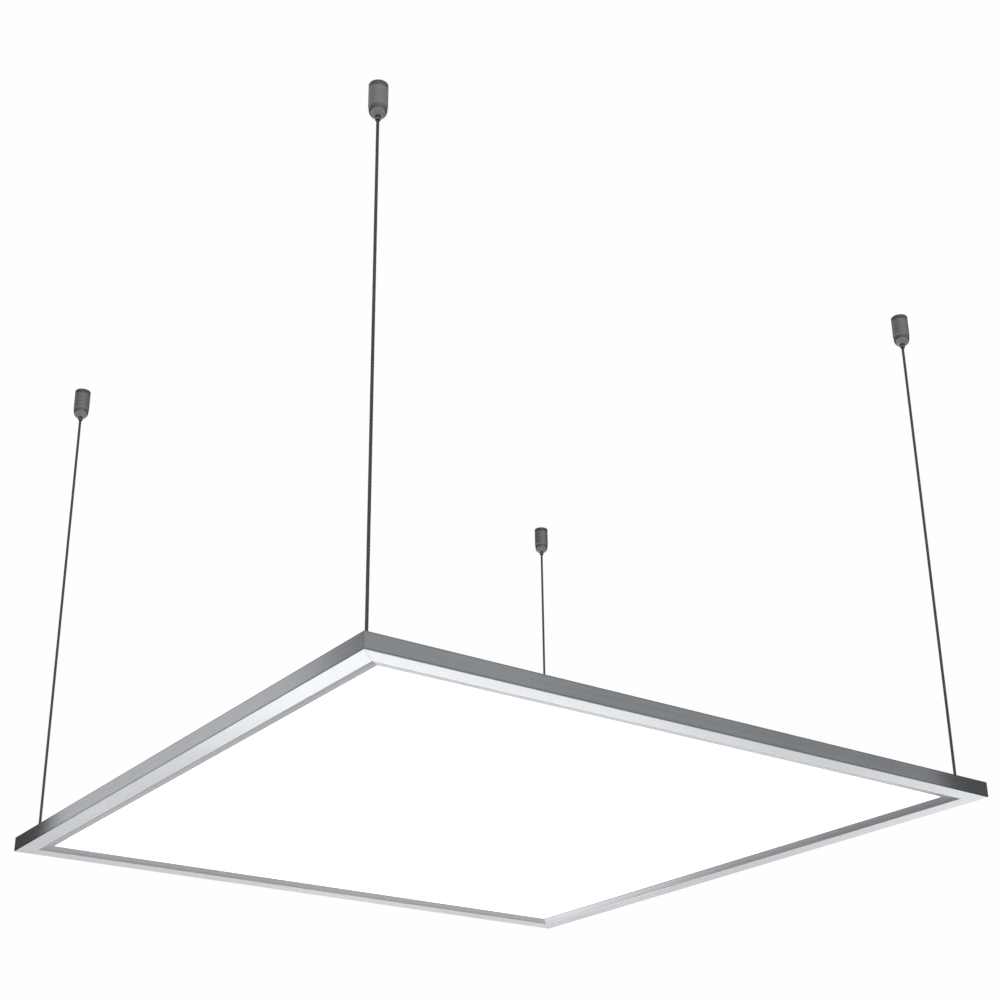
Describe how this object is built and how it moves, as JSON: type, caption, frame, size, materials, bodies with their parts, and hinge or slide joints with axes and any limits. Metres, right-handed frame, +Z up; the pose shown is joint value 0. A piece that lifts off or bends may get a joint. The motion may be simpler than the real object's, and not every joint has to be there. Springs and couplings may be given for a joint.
{
  "type": "hanging square light panel",
  "caption": "Flat square edge-lit light panel in a slim mitred aluminium frame, hung from steel wires on turned ceiling grippers, with its driver on the back.",
  "frame": {"origin": "centre of the four ceiling fixings, on the ceiling plane, where the grippers' flat tops meet it", "axes": "+Z up out of the ceiling, the panel hangs below; +X from left to right along the driver, +Y from front to rear, both along the panel's sides"},
  "size_m": [0.595, 0.595, 0.4628],
  "materials": {
    "gripper_metal": "satin turned",
    "nozzle_metal": "satin turned",
    "wire_rope": "stranded wire rope",
    "spring_steel": "bright",
    "brass_parts": "machined",
    "frame_aluminium": "satin anodised",
    "key_zinc": "die cast",
    "screw_steel": "zinc plated",
    "back_plate_paint": "white powder coat on aluminium sheet",
    "foam": "closed-cell foam",
    "reflector_film": "white film",
    "guide_acrylic": "clear acrylic with printed dots",
    "diffuser_opal": "opal, lit",
    "led_board": "white solder mask",
    "led_emitter": "phosphor",
    "lead_insulation": "smooth",
    "grommet_rubber": "matt",
    "lead_jacket": "smooth",
    "driver_plastic": "moulded",
    "circuit_board": "solder mask",
    "coil_tape": "taped core",
    "capacitor_sleeve": "sleeved",
    "terminal_plastic": "moulded"
  },
  "bodies": {
    "ceiling_grippers": {"gripper_barrel_front_left": "gripper_metal", "spring_seat_front_left": "brass_parts", "clutch_spring_front_left": "spring_steel", "gripper_barrel_front_right": "gripper_metal", "spring_seat_front_right": "brass_parts", "clutch_spring_front_right": "spring_steel", "gripper_barrel_rear_left": "gripper_metal", "spring_seat_rear_left": "brass_parts", "clutch_spring_rear_left": "spring_steel", "gripper_barrel_rear_right": "gripper_metal", "spring_seat_rear_right": "brass_parts", "clutch_spring_rear_right": "spring_steel"},
    "release_nozzle_front_left": {"release_nozzle_front_left": "nozzle_metal", "clutch_balls_front_left": "spring_steel"},
    "release_nozzle_front_right": {"release_nozzle_front_right": "nozzle_metal", "clutch_balls_front_right": "spring_steel"},
    "release_nozzle_rear_left": {"release_nozzle_rear_left": "nozzle_metal", "clutch_balls_rear_left": "spring_steel"},
    "release_nozzle_rear_right": {"release_nozzle_rear_right": "nozzle_metal", "clutch_balls_rear_right": "spring_steel"},
    "terminal_cover": {"terminal_cover": "driver_plastic"},
    "panel": {"suspension_wire_front_left": "wire_rope", "suspension_wire_front_right": "wire_rope", "suspension_wire_rear_left": "wire_rope", "suspension_wire_rear_right": "wire_rope", "wire_foot_studs": "nozzle_metal", "frame_front": "frame_aluminium", "frame_right": "frame_aluminium", "frame_rear": "frame_aluminium", "frame_left": "frame_aluminium", "corner_keys": "key_zinc", "corner_screws": "screw_steel", "back_plate": "back_plate_paint", "back_plate_screws": "screw_steel", "foam_pad": "foam", "reflector_sheet": "reflector_film", "light_guide": "guide_acrylic", "diffuser": "diffuser_opal", "led_board_front": "led_board", "led_board_rear": "led_board", "led_chips": "led_emitter", "board_leads": "lead_insulation", "lead_splice": "driver_plastic", "lead_grommet": "grommet_rubber", "dc_lead": "lead_jacket", "lead_clips": "driver_plastic", "driver_base": "driver_plastic", "driver_board": "circuit_board", "driver_transformer": "coil_tape", "driver_capacitors": "capacitor_sleeve", "driver_heatsink": "frame_aluminium", "terminal_block": "terminal_plastic", "terminal_screws": "brass_parts", "cord_clamp": "driver_plastic", "driver_screws": "screw_steel", "driver_cover": "driver_plastic", "cover_hinge_pin": "screw_steel"}
  },
  "joints": [
    {"name": "panel_height", "type": "slide", "parent": "ceiling_grippers", "child": "panel", "axis": [0, 0, 1], "range_m": [0, 0.38]},
    {"name": "nozzle_push_front_left", "type": "slide", "parent": "ceiling_grippers", "child": "release_nozzle_front_left", "axis": [0, 0, 1], "range_m": [0, 0.002], "stiffness_N_per_m": 400, "springref_m": -0.004, "deforming": ["clutch_spring_front_left"]},
    {"name": "nozzle_push_front_right", "type": "slide", "parent": "ceiling_grippers", "child": "release_nozzle_front_right", "axis": [0, 0, 1], "range_m": [0, 0.002], "stiffness_N_per_m": 400, "springref_m": -0.004, "deforming": ["clutch_spring_front_right"]},
    {"name": "nozzle_push_rear_left", "type": "slide", "parent": "ceiling_grippers", "child": "release_nozzle_rear_left", "axis": [0, 0, 1], "range_m": [0, 0.002], "stiffness_N_per_m": 400, "springref_m": -0.004, "deforming": ["clutch_spring_rear_left"]},
    {"name": "nozzle_push_rear_right", "type": "slide", "parent": "ceiling_grippers", "child": "release_nozzle_rear_right", "axis": [0, 0, 1], "range_m": [0, 0.002], "stiffness_N_per_m": 400, "springref_m": -0.004, "deforming": ["clutch_spring_rear_right"]},
    {"name": "terminal_cover_hinge", "type": "hinge", "parent": "panel", "child": "terminal_cover", "pos_m": [-0.042, 0, -0.4232], "axis": [0, 1, 0], "range_deg": [0, 120]}
  ]
}
